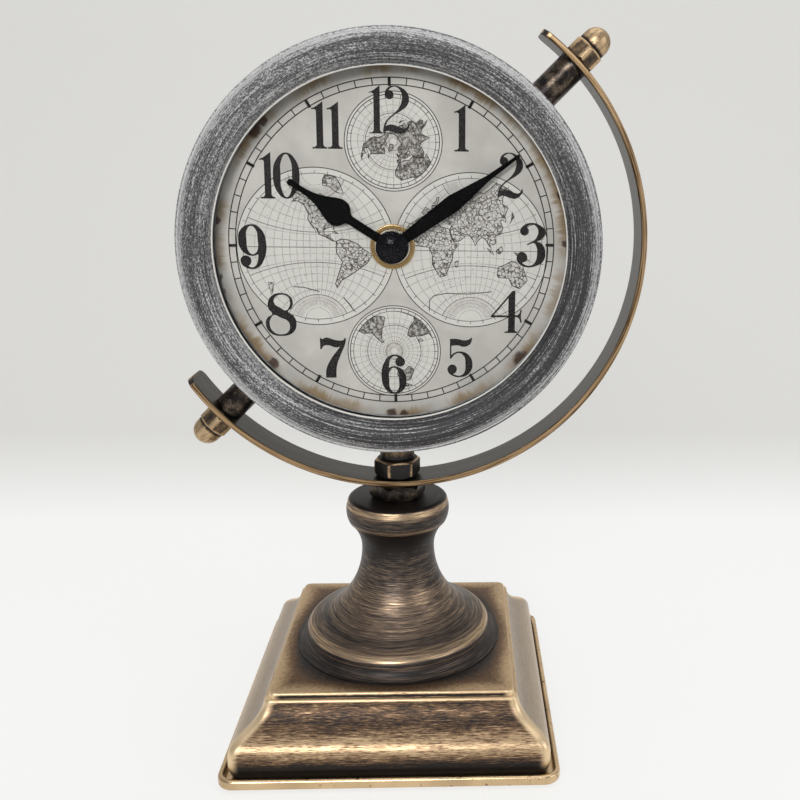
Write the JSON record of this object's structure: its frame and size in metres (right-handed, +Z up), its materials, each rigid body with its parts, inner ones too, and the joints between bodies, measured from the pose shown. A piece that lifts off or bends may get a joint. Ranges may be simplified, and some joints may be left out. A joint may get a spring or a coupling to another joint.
{
  "type": "table clock",
  "caption": "Round table clock that turns on two slanting pivots in an open ring arm, on a spun stem and a square ogee base, with quartz movement and motion works.",
  "frame": {"origin": "on the table under the stem's centre line, at the underside of the felt", "axes": "+Z up along the stem; +X to the viewer's right; the dial looks along -Y"},
  "size_m": [0.1685, 0.12, 0.2611],
  "materials": {
    "felt": "matt black felt",
    "antique_bronze": "brushed antique bronze with rubbed edges",
    "rim_brass": "aged brass",
    "arm_bronze": "dark bronze with rubbed brass edges",
    "nut_brass": "antique brass",
    "black_bronze": "blackened bronze",
    "zinc_steel": "zinc plated",
    "antique_silver": "brushed antique silver",
    "clear_glass": "clear polished",
    "black_card": "matt black",
    "printed_paper": "aged printed paper",
    "dial_metal": "plain sheet",
    "cover_black": "satin black paint",
    "movement_plastic": "moulded black",
    "gear_plastic": "moulded white",
    "plain_brass": "turned",
    "rubber_black": "matt",
    "cell_jacket": "plain jacket",
    "contact_nickel": "nickel plated",
    "board_green": "solder mask",
    "copper_wire": "enamelled copper winding",
    "hand_black": "matt black",
    "cap_black": "gloss black"
  },
  "bodies": {
    "stand": {"base_felt": "felt", "base_tray": "rim_brass", "base_shell": "antique_bronze", "stem": "antique_bronze", "tie_rod": "zinc_steel", "base_washer": "zinc_steel", "base_nut": "zinc_steel", "arm_jam_nut": "black_bronze", "meridian_arm": "arm_bronze", "arm_cap_nut": "nut_brass"},
    "clock_head": {"bezel": "antique_silver", "case_drum": "antique_silver", "glass_lens": "clear_glass", "dial_gap_ring": "black_card", "dial_paper": "printed_paper", "dial_plate": "dial_metal", "back_cover": "cover_black", "back_cover_screws": "zinc_steel", "pivot_screws": "zinc_steel", "pivot_washers": "zinc_steel", "upper_pivot_spacer": "black_bronze", "lower_pivot_spacer": "black_bronze", "upper_pivot_cap_nut": "nut_brass", "lower_pivot_cap_nut": "nut_brass", "movement_case": "movement_plastic", "movement_back": "movement_plastic", "movement_gasket": "rubber_black", "shaft_bushing": "plain_brass", "shaft_nut": "plain_brass", "battery": "cell_jacket", "battery_contacts": "contact_nickel", "circuit_board": "board_green", "drive_coil": "copper_wire"},
    "minute": {"minute_hand": "hand_black", "hand_cap": "cap_black", "minute_arbor": "plain_brass"},
    "hour": {"hour_hand": "hand_black", "hour_wheel": "gear_plastic"},
    "minute_wheel_body": {"minute_wheel": "gear_plastic"},
    "set_knob_body": {"set_knob": "gear_plastic"}
  },
  "joints": [
    {"name": "head_tilt", "type": "hinge", "parent": "stand", "child": "clock_head", "pos_m": [0, 0, 0.18439], "axis": [-0.7071, 0, -0.7071], "range_deg": [-14, 194]},
    {"name": "minute_turn", "type": "hinge", "parent": "clock_head", "child": "minute", "pos_m": [0, 0, 0.18439], "axis": [0, 1, 0], "continuous": true},
    {"name": "hour_turn", "type": "hinge", "parent": "clock_head", "child": "hour", "pos_m": [0, 0, 0.18439], "axis": [0, 1, 0], "continuous": true},
    {"name": "minute_wheel_turn", "type": "hinge", "parent": "clock_head", "child": "minute_wheel_body", "pos_m": [0, 0, 0.19411], "axis": [0, 1, 0], "continuous": true},
    {"name": "set_knob_turn", "type": "hinge", "parent": "clock_head", "child": "set_knob_body", "pos_m": [0, 0, 0.20503], "axis": [0, 1, 0], "continuous": true}
  ],
  "couplings": [
    {"joint": "hour_turn", "follows": "minute_turn", "ratio": 0.083333},
    {"joint": "minute_wheel_turn", "follows": "minute_turn", "ratio": -0.33333},
    {"joint": "set_knob_turn", "follows": "minute_turn", "ratio": 0.66667}
  ]
}
